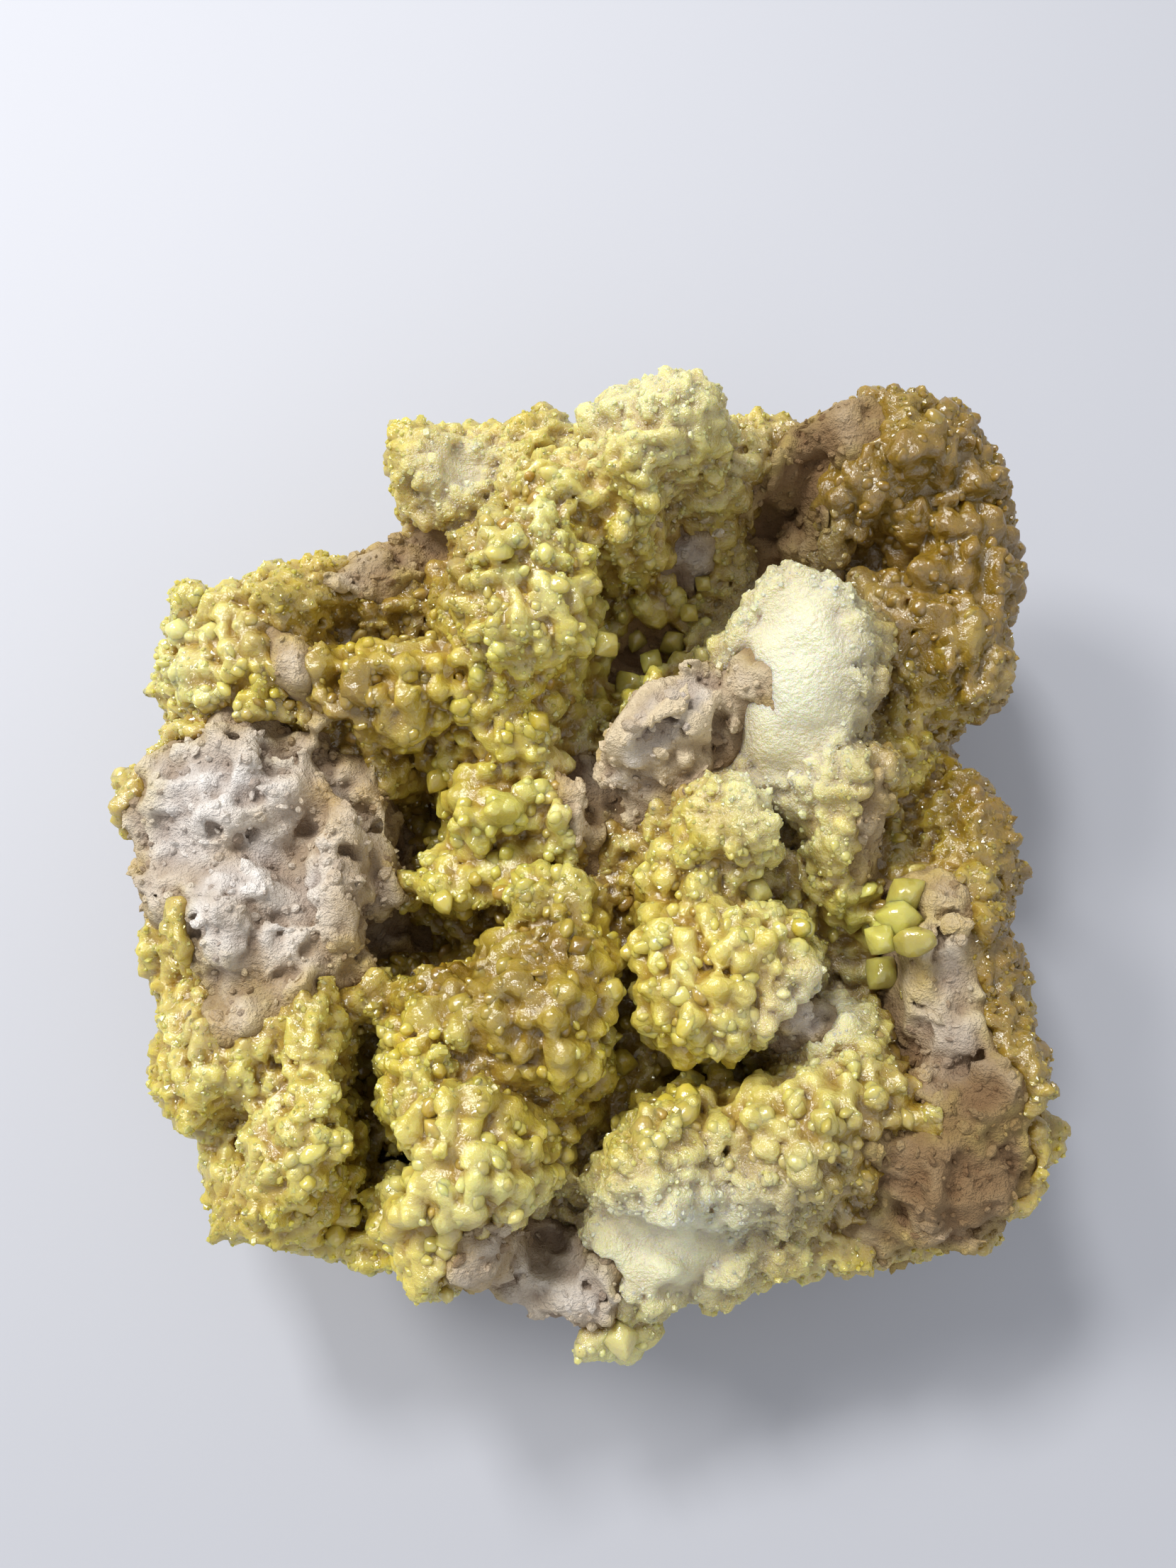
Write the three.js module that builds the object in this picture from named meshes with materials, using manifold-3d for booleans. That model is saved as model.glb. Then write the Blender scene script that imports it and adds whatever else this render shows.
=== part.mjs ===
// A hand specimen of native sulfur on altered volcanic rock, in millimetres, +Z up.
// The origin is the centre of the flat broken face that the specimen rests on.
// The rock, the crust and the crystals have grown together, so the specimen is one solid:
// a rounded slab of rock, lobes that stand on it, and vugs and clefts cut between them.
import * as THREE from "three";
import { mergeVertices } from "three/addons/utils/BufferGeometryUtils.js";
import Module from "manifold-3d";

// Driving dimensions: the box that the finished specimen fills.
const WIDTH = 93;
const DEPTH = 98;
const HEIGHT = 50;

// The slab under the lobes.
const SLAB_TOP = 29;
const SLAB_BEVEL = 6;
const SLAB_SHARE = 0.86; // the slab's outline against the whole specimen's
const FOOT_SHARE = 0.84; // how far the slab draws in at the resting face
const SLAB_STEPS = 4;
const SLAB_POINTS = 44;

const SLAB_ROUGHNESS = 1.4; // how far its skin wanders
const SLAB_WAVE = 7; // the length over which it wanders

// The lobes and the vugs.
const LOBE_ROUGHNESS = 0.16; // how far a lobe's skin wanders, as a share of its radius
const LOBE_WAVES = 2; // how many times it wanders over one radius
const LOBE_BLOCKINESS = 0.85; // 1 is an ellipsoid, less is boxier
const BIG_LOBE = 8; // a lobe that reaches further than this gets the finer ball
const MOST_TILT = 12; // degrees that a lobe may lean

const wasm = await Module();
wasm.setup();

// The plan outline, seen from above, anticlockwise from the east side.
const OUTLINE = [
  [45, 2], [42, 12], [45, 24], [45, 40], [34, 47], [21, 43], [10, 47], [-4, 43],
  [-18, 39], [-30, 34], [-42, 23], [-45, 8], [-46, -7], [-41, -23], [-32, -36], [-17, -38],
  [-8, -40], [4, -46], [21, -41], [38, -36], [45, -24], [46, -10],
];

// Each lobe: name, centre x and y, height of its top, half sizes in x, y and z, turn about z in degrees.
const LOBES = [
  ["nw_outer", -36, 21, 36, 8, 9, 9, -30],
  ["nw_shoulder", -28, 26, 37, 11, 7, 12, 30],
  ["nw_facet", -28, 18, 39, 7, 6, 10, 0],
  ["nw_beads", -15, 18, 38, 9, 8, 12, 10],
  ["nw_flat", -19, 30, 34, 9, 7, 10, 25],
  ["north_block", -12, 40, 39, 7, 7, 9, 30],
  ["north_back", -5, 44, 38, 8, 5, 9, 0],
  ["west_peak", -6, 25, 46, 9, 12, 16, 10],
  ["west_peak_back", -1, 34, 45, 8, 7, 14, 0],
  ["west_peak_foot", -5, 15, 38, 6, 7, 10, 0],
  ["peak", 8, 38, 50, 9, 9, 14, 0],
  ["peak_shoulder", 14, 36, 47, 6, 8, 14, 20],
  ["saddle", 21, 42, 40, 8, 6, 10, 0],
  ["ne_lobe", 33, 41, 42, 11, 9, 9, 0],
  ["ne_rim", 40, 34, 39, 7, 13, 11, 0],
  ["ne_inner", 28, 34, 35, 8, 7, 10, 0],
  ["east_lobe", 38, 22, 37, 9, 9, 8, 0],
  ["east_blade", 32, 25, 38, 3, 5, 9, 20],
  ["east_slope", 33, 13, 34, 7, 7, 9, 0],
  ["ridge", 23, 18, 46, 8, 12, 16, -6],
  ["ridge_foot", 26, 8, 41, 7, 6, 11, 0],
  ["rib", 11, 13, 40, 9, 5, 11, 36],
  ["rib_slope", 15, 8, 36, 9, 6, 9, 10],
  ["centre_fin", 0, 7, 36, 3, 8, 9, 8],
  ["centre_lobe", -8, 6, 34, 6, 7, 9, 0],
  ["rock_north", -33, 7, 36, 12, 10, 9, -10],
  ["rock_south", -31, -5, 35, 13, 9, 9, 0],
  ["rock_edge", -23, -1, 35, 4, 10, 9, 0],
  ["sw_block", -31, -18, 35, 10, 9, 9, 0],
  ["sw_low", -27, -28, 34, 9, 8, 9, 15],
  ["sw_rim", -23, -21, 37, 4, 13, 10, 3],
  ["middle_druse", -2, -14, 39, 8, 9, 12, 0],
  ["middle_druse_north", -1, -5, 37, 6, 5, 9, 0],
  ["middle_druse_west", -9, -15, 36, 7, 7, 10, 0],
  ["sw_knob", -13, -21, 38, 5, 7, 10, 0],
  ["tongue", -9, -29, 41, 9, 9, 13, -20],
  ["tongue_tip", -10, -35, 37, 7, 5, 11, 0],
  ["east_druse", 14, -11, 40, 10, 8, 11, 0],
  ["east_druse_north", 13, -3, 37, 8, 5, 9, 0],
  ["knob", 15, 3, 42, 5, 5, 8, 0],
  ["east_step", 27, 1, 37, 6, 7, 10, 0],
  ["rim_crystals", 32, -7, 39, 3, 8, 9, -15],
  ["rim_rock", 38, -12, 37, 7, 15, 10, 6],
  ["rim_edge", 41, -13, 34, 6, 16, 8, 4],
  ["se_rock", 37, -26, 35, 9, 10, 9, -20],
  ["se_slope", 27, -19, 36, 7, 6, 9, -30],
  ["se_druse", 22, -27, 37, 12, 7, 11, 20],
  ["south_druse", 10, -28, 37, 8, 7, 11, 15],
  ["south_rock", 8, -36, 32, 13, 7, 10, 5],
  ["south_rock_west", -1, -39, 27, 6, 5, 8, 0],
  ["south_tip", 5, -44, 26, 4, 4, 8, 0],
  ["se_under", 32, -35, 26, 10, 5, 9, 10],
  ["east_low", 41, 2, 34, 6, 9, 8, 0],
];

// Each vug or cleft: name, centre x, y and z, half sizes in x, y and z, turn about z in degrees.
const VUGS = [
  ["centre_hole", -15, 6, 27, 3, 5, 12, 0],
  ["west_cavern", -15, -8, 27, 5, 4, 11, 20],
  ["west_cavern_east", -9, -6, 30, 4, 2.4, 10, -10],
  ["sw_cleft", -19, -24, 31, 1.4, 12, 13, 0],
  ["sw_hole", -16, -28, 28, 3, 2.4, 13, 0],
  ["middle_cleft", 6, -13, 33, 1.2, 9, 12, 0],
  ["ledge_slot", 14, -20, 28, 7, 2.2, 13, 0],
  ["diagonal_cleft", 3, -26, 33, 1.5, 6, 9, -42],
  ["round_hole", 21, 1, 36, 1.8, 1.8, 9, 0],
  ["rim_hollow", 28, -9, 35, 3, 5, 10, 0],
  ["great_hollow", 9, 24, 42, 9, 4.5, 15, 48],
  ["hollow_head", 16, 29, 42, 5, 4, 14, 30],
  ["hollow_foot", 2, 15, 38, 3, 3.4, 10, 0],
  ["peak_pit", 12, 33, 44, 2.4, 2, 12, 0],
  ["saddle_valley", 24, 37, 42, 2, 5, 7, -20],
  ["nw_pit", -23, 24, 38, 3, 2.4, 9, 0],
  ["facet_pit", -28, 13, 37, 2.4, 2, 7, 0],
  ["bead_pit", -15, 11, 36, 4, 1.8, 9, 0],
  ["ne_pit", 32, 31, 37, 3, 2.4, 9, 0],
  ["east_notch", 46, 12, 20, 4.4, 2.6, 26, 0],
  ["sw_crack", -31, -27, 36, 1.2, 5, 8, 18],
  ["tongue_gap", -1, -35, 31, 2, 4, 10, -20],
];

// A smooth wandering value between about -1 and 1 at a point, with its waves one unit or so long.
function ripple(x, y, z) {
  const along = Math.sin(1.7 * x + 0.9 * y + 0.4);
  const across = Math.sin(1.3 * y - 1.9 * z + 2.1);
  const upward = Math.sin(1.6 * z + 1.1 * x + 4.2);
  const quick = Math.sin(3.9 * x - 2.3 * z + 1.3) * Math.sin(3.1 * y + 1.7 * x + 0.6);
  return 0.26 * (along + across + upward) + 0.3 * quick;
}

// A closed three.js geometry as a manifold-3d solid.
function solid(geometry) {
  geometry.deleteAttribute("normal");
  geometry.deleteAttribute("uv");
  const merged = mergeVertices(geometry, 1e-4);
  return new wasm.Manifold(
    new wasm.Mesh({
      numProp: 3,
      vertProperties: merged.attributes.position.array,
      triVerts: new Uint32Array(merged.index.array),
    }),
  );
}

// Moves every vertex of a geometry to where the function puts it.
function reshape(geometry, move) {
  const positions = geometry.attributes.position;
  const point = new THREE.Vector3();
  for (let i = 0; i < positions.count; i += 1) {
    point.fromBufferAttribute(positions, i);
    move(point);
    positions.setXYZ(i, point.x, point.y, point.z);
  }
  return geometry;
}

// A rough, slightly boxy ball of the given half sizes, leaning a little, about a centre.
function lump(centre, halves, turn, lean, seed) {
  const detail = Math.max(halves[0], halves[1]) > BIG_LOBE ? 2 : 1;
  const boxy = (value) => Math.sign(value) * Math.abs(value) ** LOBE_BLOCKINESS;
  const ball = reshape(new THREE.IcosahedronGeometry(1, detail), (p) => {
    const place = p.clone().multiplyScalar(LOBE_WAVES);
    const rough = 1 + LOBE_ROUGHNESS * ripple(place.x + seed, place.y - seed, place.z + 0.5 * seed);
    p.set(boxy(p.x), boxy(p.y), boxy(p.z)).multiplyScalar(rough);
  });
  ball.scale(...halves);
  ball.rotateX(THREE.MathUtils.degToRad(lean[0]));
  ball.rotateY(THREE.MathUtils.degToRad(lean[1]));
  ball.rotateZ(THREE.MathUtils.degToRad(turn));
  ball.translate(...centre);
  return solid(ball);
}

// The rounded slab: the outline drawn in, extruded with a rounded edge, drawn in further at its foot.
function slab() {
  const curve = new THREE.SplineCurve([...OUTLINE, OUTLINE[0]].map(([x, y]) => new THREE.Vector2(x, y)));
  const points = curve.getPoints(SLAB_POINTS).slice(0, -1);
  points.forEach((p) => p.multiplyScalar(SLAB_SHARE));
  const block = new THREE.ExtrudeGeometry(new THREE.Shape(points), {
    depth: SLAB_TOP - SLAB_BEVEL,
    steps: SLAB_STEPS,
    bevelThickness: SLAB_BEVEL,
    bevelSize: SLAB_BEVEL,
    bevelSegments: 2,
  });
  reshape(block, (p) => {
    const draw = FOOT_SHARE + (1 - FOOT_SHARE) * THREE.MathUtils.smoothstep(p.z, 0, SLAB_TOP);
    const rough = SLAB_ROUGHNESS * ripple(p.x / SLAB_WAVE, p.y / SLAB_WAVE, p.z / SLAB_WAVE);
    p.set(p.x * draw + rough, p.y * draw - rough, p.z + 0.5 * rough);
  });
  return solid(block);
}

// Everything below the resting face, as one box to cut away.
function below() {
  const reach = 2 * (WIDTH + DEPTH);
  const box = new THREE.BoxGeometry(reach, reach, HEIGHT);
  box.translate(0, 0, -HEIGHT / 2);
  return solid(box);
}

// A lobe's lean about x and y, in degrees, which differs from one lobe to the next.
function leanOf(index) {
  return [MOST_TILT * Math.sin(2.3 * index), MOST_TILT * Math.cos(3.7 * index)];
}

// The lobes joined to the slab, less the vugs and what lies below the resting face.
// Cutting can leave loose chips, so only the largest piece is kept.
function specimen() {
  let made = slab();
  LOBES.forEach(([, x, y, top, rx, ry, rz, turn], i) => {
    made = made.add(lump([x, y, top - rz], [rx, ry, rz], turn, leanOf(i), i));
  });
  VUGS.forEach(([, x, y, z, rx, ry, rz, turn], i) => {
    made = made.subtract(lump([x, y, z], [rx, ry, rz], turn, [0, 0], i));
  });
  made = made.subtract(below());
  return made.decompose().sort((a, b) => b.volume() - a.volume())[0];
}

// A manifold-3d solid as a three.js geometry, brought to the driving box with its resting face at z = 0.
function geometryOf(made) {
  const mesh = made.getMesh();
  const geometry = new THREE.BufferGeometry()
    .setAttribute("position", new THREE.BufferAttribute(new Float32Array(mesh.vertProperties), 3))
    .setIndex(new THREE.BufferAttribute(mesh.triVerts, 1));
  geometry.computeBoundingBox();
  const { min, max } = geometry.boundingBox;
  geometry.translate(-(min.x + max.x) / 2, -(min.y + max.y) / 2, 0);
  geometry.scale(WIDTH / (max.x - min.x), DEPTH / (max.y - min.y), HEIGHT / max.z);
  geometry.computeVertexNormals();
  return geometry;
}

const sulfurYellow = new THREE.MeshStandardMaterial({ color: 0xc8b45a, roughness: 0.45, metalness: 0 });
const sulfurSpecimen = new THREE.Mesh(geometryOf(specimen()), sulfurYellow);
sulfurSpecimen.name = "sulfur_specimen";

const part = new THREE.Group();
part.add(sulfurSpecimen);

export default part;
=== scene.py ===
# %% [markdown]
# # A hand specimen of native sulfur
#
# The real thing is a lump of bleached volcanic rock on which sulfur vapour has grown a crust of yellow
# crystals. One solid from the CAD model gives the lump its size, its lobes and its vugs. This script
# keeps that form and roughens it, and grows the crust and the crystals on it.
#
# Lengths are in millimetres until a mesh is made, and the frame is the CAD model's own.

# %% The frame
import math

import bpy
import numpy as np
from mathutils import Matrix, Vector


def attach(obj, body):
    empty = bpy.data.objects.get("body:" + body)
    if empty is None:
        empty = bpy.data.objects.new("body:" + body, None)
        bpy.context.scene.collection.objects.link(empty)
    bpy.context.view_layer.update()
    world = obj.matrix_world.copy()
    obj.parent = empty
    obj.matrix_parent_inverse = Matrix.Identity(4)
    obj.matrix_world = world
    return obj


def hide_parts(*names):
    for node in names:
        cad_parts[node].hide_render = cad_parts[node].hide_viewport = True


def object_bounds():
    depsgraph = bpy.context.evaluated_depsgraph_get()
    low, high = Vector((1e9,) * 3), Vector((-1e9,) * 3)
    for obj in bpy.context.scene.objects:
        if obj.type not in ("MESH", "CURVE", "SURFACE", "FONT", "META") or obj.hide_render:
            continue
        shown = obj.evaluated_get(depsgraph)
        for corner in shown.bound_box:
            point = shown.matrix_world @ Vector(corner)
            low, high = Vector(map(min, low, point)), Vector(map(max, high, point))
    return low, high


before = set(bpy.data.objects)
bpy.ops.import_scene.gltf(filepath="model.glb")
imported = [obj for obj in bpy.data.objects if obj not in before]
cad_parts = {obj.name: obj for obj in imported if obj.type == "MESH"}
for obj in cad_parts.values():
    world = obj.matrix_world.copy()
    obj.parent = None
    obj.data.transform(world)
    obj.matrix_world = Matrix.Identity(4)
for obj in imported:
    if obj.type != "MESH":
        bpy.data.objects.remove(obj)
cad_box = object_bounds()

import openvdb
from mathutils import Vector

MM = 0.001
NODE = "sulfur_specimen"
SEED = 11
lowest, highest = (np.array(corner) / MM for corner in cad_box)


def in_scene(name, data):
    """A new object in the scene, at the origin."""
    thing = bpy.data.objects.new(name, data)
    bpy.context.scene.collection.objects.link(thing)
    return thing


print("the CAD box in mm:", lowest.round(2), highest.round(2))

# %% [markdown]
# ## The camera
#
# It looks nearly straight down with a wide lens from close by, which makes the crests look large.

# %% The camera
CAMERA_PLACE = (1.3, -19.7, 146.0)
CAMERA_TILT = 13.0  # degrees from straight down
CAMERA_LENS = 27.4
NEAREST_SEEN = 10.0

camera = in_scene("camera", bpy.data.cameras.new("camera"))
camera.data.lens = CAMERA_LENS
camera.data.clip_start = NEAREST_SEEN * MM
camera.location = Vector(CAMERA_PLACE) * MM
camera.rotation_euler = (math.radians(CAMERA_TILT), 0, 0)
bpy.context.scene.camera = camera
print("camera at", CAMERA_PLACE, "mm")

# %% [markdown]
# ## The form as a field
#
# A sheet on a two-way grid can't fold into vugs and under ledges. A field can: every point of a 3-D
# grid holds its distance to the skin, negative inside, and the skin is where the field is zero. A blur
# melts the CAD solid's lobes together, and noise makes the skin wander. OpenVDB, which comes with
# Blender, turns a solid into such a field and a field into a mesh.

# %% From the CAD solid to a field
CELL = 0.5  # the grid's spacing
MARGIN = 5.0  # empty room around the solid
BAND = 7.0  # how far from the skin the distances are true
DRAWN_DOWN = 6.0  # the solid is drawn out this far below the floor, which then cuts it off clean
CELLS_BELOW = 3  # grid cells kept below the floor


def mesh_arrays(piece, kind=np.float32):
    """A piece's points in millimetres, as numbers of that kind, and the corners of its triangles."""
    mesh = piece.data
    points = np.empty(len(mesh.vertices) * 3, kind)
    mesh.vertices.foreach_get("co", points)
    mesh.calc_loop_triangles()
    corners = np.empty(len(mesh.loop_triangles) * 3, np.int32)
    mesh.loop_triangles.foreach_get("vertices", corners)
    return points.reshape(-1, 3) / MM, corners.reshape(-1, 3)


def solid_arrays(node):
    """The points and triangles of a CAD node, with its loose triangles merged: points that round
    to the same place are one point."""
    points, corners = mesh_arrays(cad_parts[node], np.float64)
    merged, place = np.unique(points.round(4), axis=0, return_inverse=True)
    return merged.astype(np.float32), place.ravel()[corners]


def distance_field(points, triangles):
    """The solid's signed distance on the grid, and the grid index of the array's first cell."""
    first = np.floor((points.min(0) - MARGIN) / CELL).astype(int)
    first[2] = -CELLS_BELOW
    last = np.ceil((points.max(0) + MARGIN) / CELL).astype(int)
    grid = openvdb.FloatGrid.createLevelSetFromPolygons(
        points,
        triangles=triangles.astype(np.uint32),
        transform=openvdb.createLinearTransform(CELL),
        halfWidth=BAND / CELL,
    )
    field = np.empty(tuple(last - first + 1), np.float32)
    grid.copyToArray(field, ijk=tuple(int(i) for i in first))
    return field, first


def blurred(field, spread, spacing=CELL):
    """The field averaged with a bell curve of that spread in mm, along X, then Y, then Z."""
    reach = math.ceil(2.5 * spread / spacing)
    steps = np.arange(-reach, reach + 1)
    bell = np.exp(-0.5 * (steps * spacing / spread) ** 2)
    bell /= bell.sum()
    for axis in range(3):
        width = [(reach, reach) if k == axis else (0, 0) for k in range(3)]
        padded = np.moveaxis(np.pad(field, width, mode="edge"), axis, 0)
        count = field.shape[axis]
        mean = sum(np.float32(w) * padded[k : k + count] for k, w in enumerate(bell))
        field = np.moveaxis(mean, 0, axis)
    return np.ascontiguousarray(field)


solid_points, solid_triangles = solid_arrays(NODE)
solid_points[solid_points[:, 2] == 0, 2] = -DRAWN_DOWN
solid_field, first_cell = distance_field(solid_points, solid_triangles)
print("field of", solid_field.shape, "cells over", len(solid_triangles), "triangles")

# %% [markdown]
# ## Noise
#
# Two kinds of noise roughen everything. Value noise is a lattice of random numbers with smooth slopes
# between them, for bumps. Cell noise scatters one point in each cell of a lattice and gives the
# distance to the nearest one, for round pores and knobs.

# %% Noise
LATTICE_START = lowest - 20.0
LATTICE_SPAN = float((highest - lowest).max()) + 40.0


def value_noise(points, wave, seed):
    """Random numbers from -1 to 1 at the corners of cubes of side wave, blended inside each cube
    with weights that start and end flat: 3 f^2 - 2 f^3."""
    count = math.ceil(LATTICE_SPAN / wave) + 2
    lattice = np.random.default_rng(SEED + seed).uniform(-1, 1, count**3).astype(np.float32)
    place = ((points - LATTICE_START) / wave).astype(np.float32)
    corner = np.floor(place).astype(np.int32)
    f = place - corner
    f = f * f * (3 - 2 * f)
    start = (corner[:, 0] * count + corner[:, 1]) * count + corner[:, 2]
    total = np.zeros(len(points), np.float32)
    for dx, dy, dz in np.ndindex(2, 2, 2):
        weight = np.abs(1 - dx - f[:, 0]) * np.abs(1 - dy - f[:, 1]) * np.abs(1 - dz - f[:, 2])
        total += weight * lattice[start + (dx * count + dy) * count + dz]
    return total


def cell_noise(points, wave, seed):
    """The distance, in units of wave, from each point to the nearest of a set of points
    scattered one to a cube of side wave, and that point's own random number from 0 to 1."""
    count = math.ceil(LATTICE_SPAN / wave) + 4
    rng = np.random.default_rng(SEED + seed)
    lattice = rng.uniform(0.1, 0.9, (count**3, 3)).astype(np.float32)
    marks = rng.uniform(0, 1, count**3).astype(np.float32)
    place = ((points - LATTICE_START) / wave).astype(np.float32) + 1
    corner = np.floor(place).astype(np.int32)
    f = place - corner
    nearest = np.full(len(points), 9.0, np.float32)
    mark = np.zeros(len(points), np.float32)
    for step in np.ndindex(3, 3, 3):
        cube = corner + np.array(step, np.int32) - 1
        index = (cube[:, 0] * count + cube[:, 1]) * count + cube[:, 2]
        gap = lattice[index] + (np.array(step, np.float32) - 1) - f
        distance = np.einsum("ij,ij->i", gap, gap)
        closer = distance < nearest
        nearest = np.where(closer, distance, nearest)
        mark = np.where(closer, marks[index], mark)
    return np.sqrt(nearest), mark


def ramp(value, low, high):
    """0 below low, 1 above high, and a smooth slope between: 3 t^2 - 2 t^3."""
    t = np.clip((value - low) / (high - low), 0, 1)
    return t * t * (3 - 2 * t)


print("lattices of noise span", LATTICE_SPAN, "mm")

# %% [markdown]
# ## Where the rock is bare
#
# On the real specimen sulfur covers most of the face, and rock shows in patches: a porous shelf at the
# left, a rib and valleys in the middle, a strip down the right edge and a pale foot at the front. Each
# patch is an oval in plan whose strength falls off as a bell. Noise frays its edge.

# %% Patches of bare rock
# name: centre x and y, half sizes, turn in degrees, strength. At an oval's edge the strength is halved.
BARE_ROCK = {
    "west shelf, north": (-33, 3, 12, 10, -8, 1.2),
    "west shelf, south": (-29, -7, 9, 7, 10, 1.2),
    "west shelf, cliff": (-23, 1, 4.5, 9, 0, 1.2),
    "south-west block": (-33, -15, 6, 3.5, 0, 0.75),
    "rib": (9.5, 11, 9, 4.5, 38, 1.2),
    "fin": (1, 5, 2.5, 7, 8, 0.9),
    "hollow floor": (7, 23, 7, 5, 48, 0.8),
    "white pocket": (11.5, 31, 3, 2.6, 0, 1.2),
    "north-west facet": (-27.5, 17.5, 2, 2.5, 0, 1.0),
    "north-west flat": (-19, 31, 7, 4, 25, 0.8),
    "north-east back": (25, 41, 4, 6, -25, 0.85),
    "north-east valley": (22, 35, 4, 7, -20, 0.95),
    "east rim": (35, -14, 5, 12, 6, 0.95),
    "east rim, foot": (38, -23, 4.5, 6, 0, 0.9),
    "south-east corner": (35, -31, 8, 6, 20, 1.1),
    "ledge": (22, -16, 4, 3, 30, 0.9),
    "rim line": (28, 2, 2, 6, 0, 0.7),
    "south foot": (-2, -41, 6, 4, -20, 1.2),
    "south foot, west": (-6, -38, 4.5, 3.5, 0, 1.2),
    "north-east top": (34, 38, 9, 6, 0, 0.3),
    "east wall": (44, 12, 3, 9, 0, 0.6),
}
# the same columns: whitish rock, and brown rock, which is partly painted shade
WHITE_ROCK = {
    "west shelf": (-32, -5, 11, 7, 20, 1.0),
    "west shelf, north edge": (-36, 6, 8, 8, 0, 1.1),
    "white pocket": (11.5, 31, 3.5, 3, 0, 1.2),
    "ledge": (22, -16, 4, 3, 30, 0.9),
    "rib": (9, 11, 9, 5, 38, 0.6),
    "east rim": (36, -15, 4, 8, 8, 0.6),
    "south foot": (5, -38, 11, 5, 8, 0.8),
}
# brown rock, partly painted shade: the north-east, the east wall and rim, the hollow floor and the
# south-east corner face away from the light
BROWN_AND_SHADED_ROCK = {
    "south-east corner": (36, -29, 9, 9, 20, 1.2),
    "hollow floor": (7, 23, 8, 6, 48, 1.0),
    "north-east valley": (23, 37, 6, 9, -20, 1.1),
    "north-east top": (34, 38, 10, 8, 0, 1.1),
    "east wall": (45, 5, 5, 20, 0, 0.9),
    "north-west flat": (-18, 29, 7, 4, 25, 0.7),
    "east rim, edge": (42, -12, 4, 16, 0, 0.6),
}
# and where the crust is a smooth, pale powder with hardly a crystal
POWDER = {
    "ridge face": (20.5, 15.5, 5.2, 9.5, -6, 1.1),
    "north block": (-12, 39, 4, 3, 30, 0.7),
    "south foot": (9, -36, 8, 5, 12, 0.9),
    "ledge": (23, -15, 4, 3, 30, 0.8),
    "peak": (8, 42, 7, 5, 0, 0.3),
}
SIDE_BARE_BELOW = 10.0  # under this height the walls are mostly rock
SIDE_GROWN_ABOVE = 24.0  # over it, what the patches say
SIDE_BARENESS = 0.62
FRAY_WAVES = {6.0: 0.24, 2.6: 0.22}  # the noise that frays a patch's edge: wave in mm and strength
BARE = 0.5  # the bareness over which rock shows


def ovals(points, table):
    """The strongest oval at each point in plan: strength times e to the power of -0.7 q,
    where q is the squared distance from the centre in units of the half sizes."""
    best = np.zeros(len(points), np.float32)
    for x, y, along, across, turn, strength in table.values():
        c, s = math.cos(math.radians(turn)), math.sin(math.radians(turn))
        dx, dy = points[:, 0] - x, points[:, 1] - y
        q = ((dx * c + dy * s) / along) ** 2 + ((dy * c - dx * s) / across) ** 2
        best = np.maximum(best, strength * np.exp(-0.7 * q))
    return best


def bareness(points):
    """How bare the rock is. It is the patches' strength, or what the height on the walls gives if
    that is more, frayed by noise."""
    wall = SIDE_BARENESS * (1 - ramp(points[:, 2], SIDE_BARE_BELOW, SIDE_GROWN_ABOVE))
    bare = np.maximum(ovals(points, BARE_ROCK), wall)
    for seed, (wave, strength) in enumerate(FRAY_WAVES.items(), 21):
        bare = bare + strength * value_noise(points, wave, seed)
    return bare


print(len(BARE_ROCK), "patches of bare rock and", len(POWDER), "of powder")

# %% [markdown]
# ## Two skins from one form
#
# The rock and the crust are two closed skins. Both start from the blurred form, swollen into knobs
# with creases between them, as vapour-grown clumps are. The crust stands proud of the rock where it
# grew and dives under it where rock is bare, so its edge is a real ledge.

# %% Knobs and splits
FORM_BLUR = 1.0
SHARPEN = 0.3  # adding what a blur takes away deepens the clefts again
SHARPEN_BLUR = 3.0
FLOOR_BLUR = 4.0  # crystals fill the vugs from below, so their floors lie
VUG_FLOOR = 1.9  # only this deep under the form that such a blur leaves
NEAR = 5.0  # only cells this close to the skin are worked on
RIB_TURN = math.radians(42)
SPLIT_WAVE = 2.4
# where rock splits: the columns are those of the patches
SPLIT_ROCK = {"rib": (9, 11, 11, 7, 42, 1.2), "fin": (0, 5, 4, 8, 8, 1.0)}


def knobs(points, wave, seed):
    """Lumps with creases between them. With q the distance to the nearest lump's centre in units
    of wave, the height is 1 - 1.8 q^2, and each lump has its own share of it."""
    gap, mark = cell_noise(points, wave, seed)
    return (0.45 + 0.55 * mark) * (1 - 1.8 * gap**2)


def splits(points):
    """Noise stretched four times along the rib's direction, from -1 to 1 on the rib and 0 elsewhere."""
    way = np.array([math.cos(RIB_TURN), math.sin(RIB_TURN), 0], np.float32)
    squeezed = points - 0.75 * (points @ way)[:, None] * way
    return value_noise(squeezed, SPLIT_WAVE, 10) * np.clip(ovals(points, SPLIT_ROCK), 0, 1)


form = blurred(solid_field, FORM_BLUR)
form += SHARPEN * (form - blurred(form, SHARPEN_BLUR))
form = np.minimum(form, blurred(solid_field, FLOOR_BLUR) + VUG_FLOOR)
near = np.nonzero(np.abs(form) < NEAR)
cells = ((np.stack(near, 1) + first_cell) * CELL).astype(np.float32)
print("the form's skin passes near", len(cells), "cells")

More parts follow.
